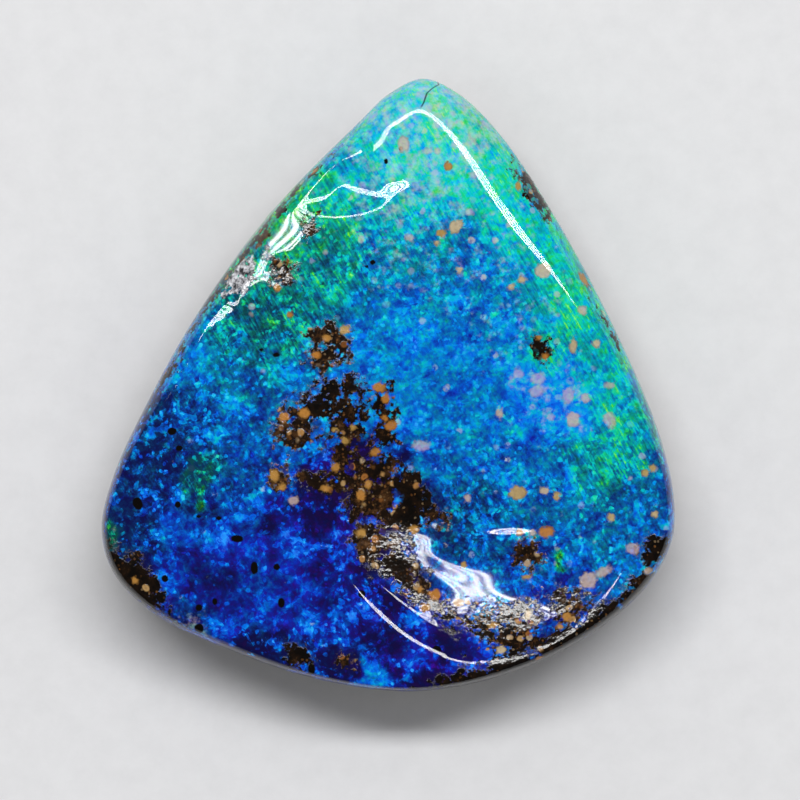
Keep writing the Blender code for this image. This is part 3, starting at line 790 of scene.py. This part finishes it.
def ironstone_group():
    """Dark ironstone packed with small round grains. Tan runs from -1, black, to 1, sandy.
    Above 2 the stone is frosted white, partly its own dull grey and partly a painted sheen."""
    net, given, result = new_group(
        "ironstone", (("Tan", 0.0),), (("Color", "NodeSocketColor"), ("Height", "NodeSocketFloat")))
    tan = given["Tan"]
    place = net.warp(net.warp(net.places(), 2.0, 0.12), 8.0, 0.06)
    clay = net.noise(place, 2.8, 5.0, 0.65)
    lift = net.math("MULTIPLY_ADD", tan, 0.13, clay)
    colour = net.ramp(lift, ROCK_TONES)
    distance, pick, tone, _ = net.cells(place, OOLITH_COUNT)
    round_grain = net.between(distance, 0.42, 0.30)
    sandy = net.math("MINIMUM", tan, 1.0)
    present = net.between(net.math("MULTIPLY_ADD", sandy, 0.42, pick), 0.60, 0.68)
    present = net.math("MULTIPLY", present, net.between(tan, 2.0, 1.2))
    grain = net.math("MULTIPLY", round_grain, present)
    ring = net.math("MULTIPLY_ADD", net.between(distance, 0.0, 0.2), 0.35, 0.65)
    inside = net.between(distance, 0.36, 0.24)
    ring = net.math("MULTIPLY", ring, net.math("MULTIPLY_ADD", inside, 0.55, 0.45))
    grain_colour = net.shaded(net.ramp(tone, OOLITH_TONES), ring)
    colour = net.mix(grain, colour, grain_colour)
    fine_distance, fine_pick, fine_tone, _ = net.cells(place, CRUMB_COUNT)
    crumbs = net.math("MULTIPLY", net.between(fine_distance, 0.42, 0.25),
                      net.between(net.math("MULTIPLY_ADD", sandy, 0.3, fine_pick), 0.52, 0.66))
    crumbs = net.math("MULTIPLY", crumbs, net.between(tan, 2.0, 1.2))
    colour = net.mix(net.math("MULTIPLY", crumbs, 0.32), colour, net.ramp(fine_tone, OOLITH_TONES))
    # Frosted white on the broken chip: dull stone, and partly a painted sheen.
    frost_and_sheen = net.ramp(net.noise(place, 4.5, 3.0, 0.7), FROST_AND_SHEEN_TONES)
    colour = net.mix(net.between(tan, 1.2, 2.4), colour, frost_and_sheen)
    uneven = net.math("MULTIPLY", net.noise(place, 5.0, 1.5, 0.6), 0.7)
    height = net.math("MULTIPLY_ADD", grain, 0.3, uneven)
    net.feed(result["Color"], colour)
    net.feed(result["Height"], height)
    return net.tree


def new_material(name):
    material = bpy.data.materials.new(name)
    material.use_nodes = True
    net = Net(material.node_tree)
    return material, net, material.node_tree.nodes["Principled BSDF"].inputs


def face_material(fire, ironstone):
    """Polished opal with ironstone showing through, and the ironstone of the side."""
    material, net, shader = new_material("polished_opal_on_ironstone")
    place = net.places()
    wander = net.noise(place, 1.9, 5.0, 0.68)
    crumble = net.noise(place, 6.0, 3.0, 0.6)
    tint, glow, milk = net.field("tint"), net.field("glow"), net.field("milk")
    colour = net.group(fire, Tint=tint, Glow=glow, Milk=milk)["Color"]
    tan = net.field("rock_tan")
    rock_look = net.group(ironstone, Tan=tan)
    rock = net.between(net.shift(net.field("rock"), (wander, 1.9), (crumble, 0.8)), -0.13, 0.06)
    filling = net.between(net.noise(net.places(start=(2, 8, 4)), 2.3, 3.0, 0.6), 0.56, 0.62)
    filling = net.math("MULTIPLY", filling, net.between(tan, -0.6, 0.0))
    rock = net.math("SUBTRACT", rock, net.math("MULTIPLY", filling, 0.85), clamp=True)
    edge = net.shift(OPAL_EDGE, (net.noise(place, 0.45, 4.0, 0.6), OPAL_EDGE_WANDER))
    side = net.between(net.math("SUBTRACT", net.field("below"), edge), -0.03, 0.03)
    rock = net.math("MAXIMUM", rock, side)
    colour = net.mix(rock, colour, rock_look["Color"])
    speck = net.between(net.shift(net.field("speck"), (wander, 0.12)), -0.01, 0.03)
    colour = net.mix(speck, colour, ROCK_TONES[0][1])
    grain = net.between(net.shift(net.field("grain"), (wander, 0.2), (crumble, 0.28)), -0.04, 0.05)
    grain_colour = net.ramp(net.field("grain_tone"), GRAIN_TONES)
    shade = net.math("MULTIPLY_ADD", net.noise(place, 9.0, 2.0), 0.7, 0.6)
    inner = net.between(net.field("grain"), -0.02, 0.07)
    shade = net.math("MULTIPLY", shade, net.math("MULTIPLY_ADD", inner, 0.45, 0.55))
    grain_colour = net.shaded(grain_colour, shade)
    pale = net.between(net.field("grain_tone"), 0.5, 0.95)
    solid = net.math("MULTIPLY_ADD", pale, -0.5, 0.95)
    colour = net.mix(net.math("MULTIPLY", grain, solid), colour, grain_colour)
    crack = net.between(net.math("ABSOLUTE", net.field("crack")), 0.05, 0.015)
    crack = net.math("MULTIPLY", crack, net.between(net.field("crack_end"), 0.0, 0.15))
    colour = net.mix(net.math("MULTIPLY", crack, 0.8), colour, POTCH_DARK)
    net.feed(shader["Base Color"], colour)
    wear = net.math("MAXIMUM", rock, net.field("worn"))
    net.feed(shader["Roughness"], net.math("MULTIPLY_ADD", wear, WORN_ROUGHNESS, POLISH_ROUGHNESS))
    bump = net.add("ShaderNodeBump")
    net.feed(bump.inputs["Strength"], 1.0)
    net.feed(bump.inputs["Distance"], ROCK_RELIEF * MM)
    net.feed(bump.inputs["Height"], net.math("MULTIPLY", rock_look["Height"], rock))
    net.feed(shader["Normal"], bump.outputs[0])
    shader["IOR"].default_value = OPAL_IOR
    return material


def back_material(fire, ironstone):
    """The ground back: dull ironstone with a few thin opal veins."""
    material, net, shader = new_material("ground_ironstone_back")
    place = net.warp(net.places(), 0.35, 2.2)
    look = net.group(ironstone, Tan=BACK_TAN)
    along_bands = net.warp(net.places(turn=35, stretch=(0.25, 1.0, 1.0)), 0.4, 1.0)
    bands = net.noise(along_bands, 1.0, 5.0, 0.6)
    colour = net.mix(0.55, look["Color"], net.ramp(bands, BACK_TONES))
    vein_noise = net.noise(place, 0.35, 2.0)
    vein = net.between(net.math("ABSOLUTE", net.math("SUBTRACT", vein_noise, 0.5)), 0.012, 0.004)
    colour = net.mix(net.math("MULTIPLY", vein, 0.8), colour, net.group(fire, **VEIN_LOOK)["Color"])
    net.feed(shader["Base Color"], colour)
    net.feed(shader["Roughness"], net.math("MULTIPLY_ADD", look["Height"], 0.2, BACK_ROUGHNESS))
    scratches = net.noise(net.places(turn=20, stretch=(0.6, 22.0, 1.0)), 1.0, 2.0)
    bump = net.add("ShaderNodeBump")
    net.feed(bump.inputs["Distance"], BACK_RELIEF * MM)
    net.feed(bump.inputs["Height"], net.math("MULTIPLY_ADD", scratches, 0.5, look["Height"]))
    net.feed(shader["Normal"], bump.outputs[0])
    return material


def floor_material():
    material, net, shader = new_material("pale_floor")
    mottle = net.noise(net.places(), 0.9, 6.0, 0.7)
    shade = net.math("MULTIPLY_ADD", mottle, 0.16, 0.90)
    net.feed(shader["Base Color"], net.shaded(FLOOR_COLOUR, shade))
    shader["Roughness"].default_value = 0.95
    shader["Specular IOR Level"].default_value = 0.0
    return material


def make_floor():
    bm = bmesh.new()
    bmesh.ops.create_grid(bm, x_segments=1, y_segments=1, size=FLOOR_SIZE * MM / 2)
    mesh = bpy.data.meshes.new("floor")
    bm.to_mesh(mesh)
    bm.free()
    mesh.materials.append(floor_material())
    floor = bpy.data.objects.new("floor", mesh)
    bpy.context.scene.collection.objects.link(floor)


def add_lamp(name, place, size, radiance):
    """A flat lamp that faces the stone, or straight down if it hangs level."""
    data = bpy.data.lights.new(name, "AREA")
    data.shape = "RECTANGLE"
    data.size, data.size_y = (value * MM for value in size)
    data.energy = radiance * math.pi * data.size * data.size_y
    lamp = bpy.data.objects.new(name, data)
    lamp.location = Vector(place) * MM
    bpy.context.scene.collection.objects.link(lamp)
    return lamp


def add_lamps():
    """Long strips side by side, high on the apex side, and soft boxes low around the stone."""
    strip = ((LAMP_RIGHT - LAMP_LEFT) * LAMP_HEIGHT, LAMP_WIDTH * LAMP_HEIGHT)
    middle = (LAMP_RIGHT + LAMP_LEFT) / 2 * LAMP_HEIGHT
    for number, slope in enumerate(LAMP_SLOPES):
        place = (middle, slope * LAMP_HEIGHT, LAMP_HEIGHT)
        add_lamp(f"strip_lamp_{number + 1}", place, strip, LAMP_RADIANCE)
    for number, azimuth in enumerate(BOX_AZIMUTHS):
        out = BOX_DISTANCE * math.cos(BOX_ELEVATION)
        place = (out * math.cos(azimuth), out * math.sin(azimuth), BOX_DISTANCE * math.sin(BOX_ELEVATION))
        box = add_lamp(f"soft_box_{number + 1}", place, (BOX_SIZE, BOX_SIZE), BOX_RADIANCE)
        box.rotation_euler = (math.pi / 2 - BOX_ELEVATION, 0, azimuth + math.pi / 2)
        box.visible_glossy = False
    world = bpy.data.worlds.new("room_light")
    world.use_nodes = True
    background = world.node_tree.nodes["Background"].inputs
    background["Color"].default_value = ROOM_COLOUR
    background["Strength"].default_value = ROOM_LIGHT
    bpy.context.scene.world = world


def add_camera():
    data = bpy.data.cameras.new("camera")
    data.sensor_width = SENSOR_WIDTH
    data.lens = SENSOR_WIDTH * (CAMERA_HEIGHT - FACE_LEVEL) / PHOTO_WIDTH
    data.clip_start, data.clip_end = 0.01, 10.0
    camera = bpy.data.objects.new("camera", data)
    camera.location = (PHOTO_MIDDLE[0] * MM, PHOTO_MIDDLE[1] * MM, CAMERA_HEIGHT * MM)
    bpy.context.scene.collection.objects.link(camera)
    bpy.context.scene.camera = camera
    bpy.context.scene.view_settings.view_transform = "Standard"


stone = make_stone()
fire, ironstone = fire_group(), ironstone_group()
stone.data.materials.append(face_material(fire, ironstone))
stone.data.materials.append(back_material(fire, ironstone))
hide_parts(STONE_NODE)
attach(stone, "root")
make_floor()
add_lamps()
add_camera()
